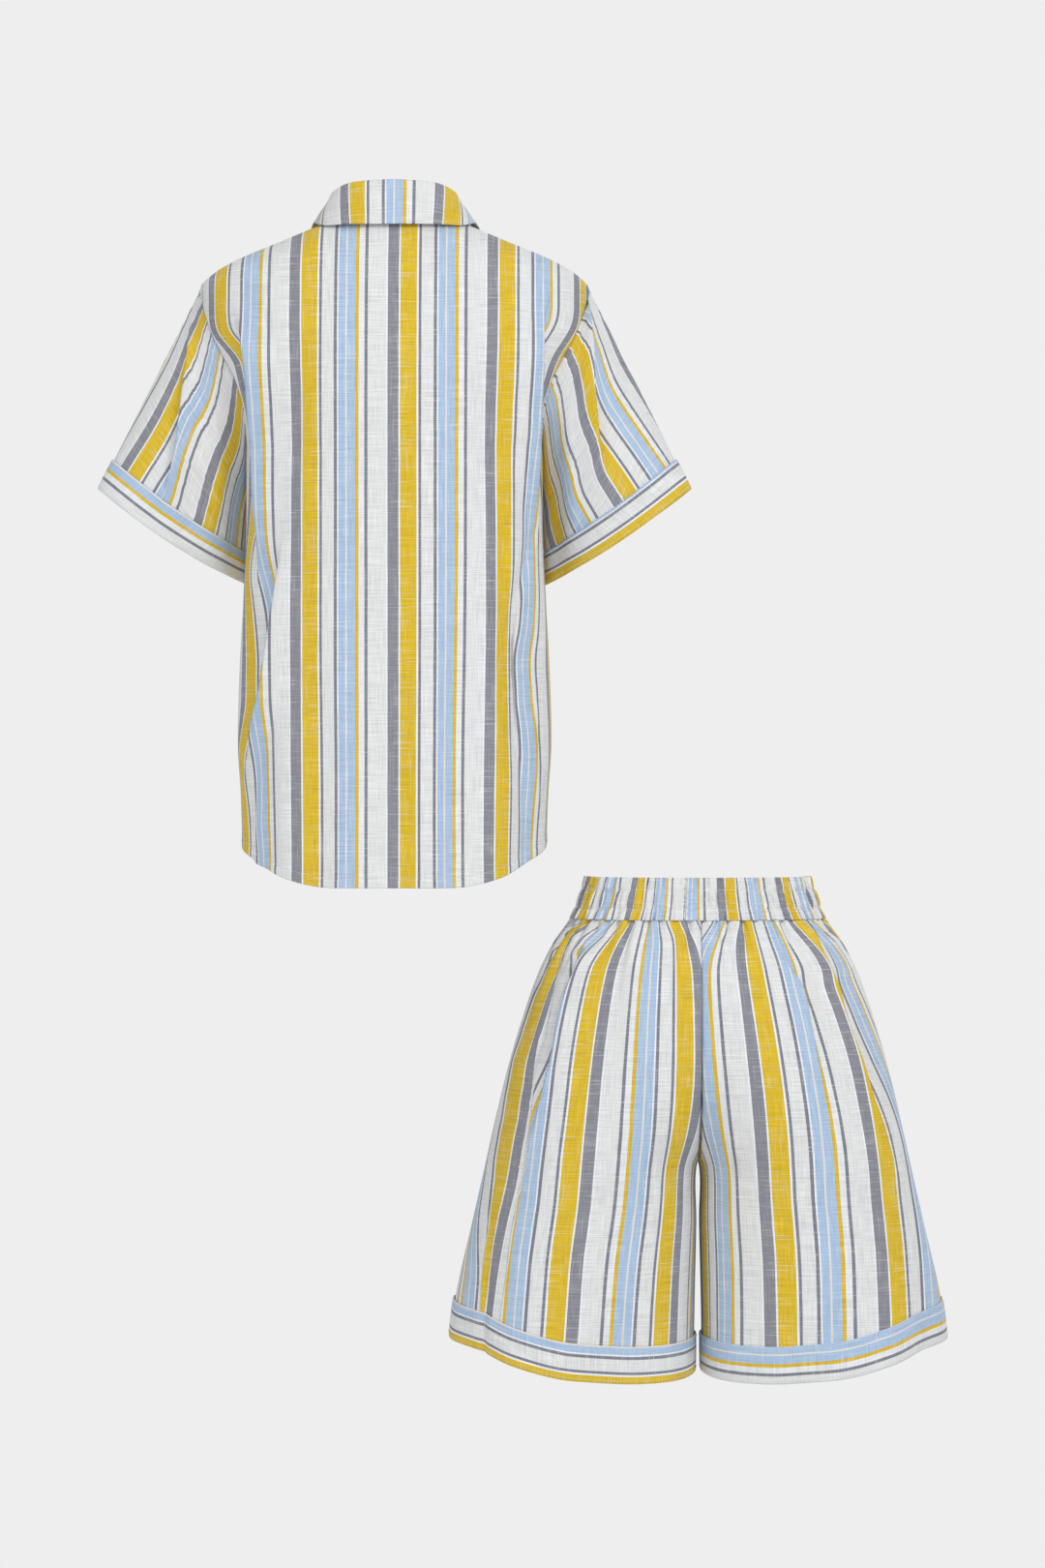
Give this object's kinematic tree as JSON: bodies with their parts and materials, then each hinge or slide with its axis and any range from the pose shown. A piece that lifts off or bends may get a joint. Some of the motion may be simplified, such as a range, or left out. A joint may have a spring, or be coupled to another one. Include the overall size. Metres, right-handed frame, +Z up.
{
  "type": "short-sleeved shirt and shorts set",
  "caption": "Striped short-sleeved shirt with a turned-down collar and curved hem, and matching wide shorts with a gathered waist, both hollow as if worn.",
  "frame": {"origin": "middle of the shirt's neck where the wearer holds it, level with the back neck seam", "axes": "+Z up, +Y the way the wearer faces, +X the wearer's right"},
  "size_m": [0.8767, 0.2519, 1.2227],
  "materials": {
    "striped_cotton": "soft slub weave with yellow, grey, blue and off-white stripes",
    "shell_button": "satin"
  },
  "bodies": {
    "root": {"top_back": "striped_cotton", "top_front_left": "striped_cotton", "top_front_right": "striped_cotton", "top_placket": "striped_cotton", "top_collar": "striped_cotton", "top_sleeve_left": "striped_cotton", "top_sleeve_right": "striped_cotton", "top_cuff_left": "striped_cotton", "top_cuff_right": "striped_cotton", "top_button_1": "shell_button", "top_button_2": "shell_button", "top_button_3": "shell_button", "top_button_4": "shell_button", "top_button_5": "shell_button", "top_button_6": "shell_button", "shorts_waistband": "striped_cotton", "shorts_back_left": "striped_cotton", "shorts_back_right": "striped_cotton", "shorts_front_left": "striped_cotton", "shorts_front_right": "striped_cotton", "shorts_cuff_left": "striped_cotton", "shorts_cuff_right": "striped_cotton"}
  },
  "joints": []
}
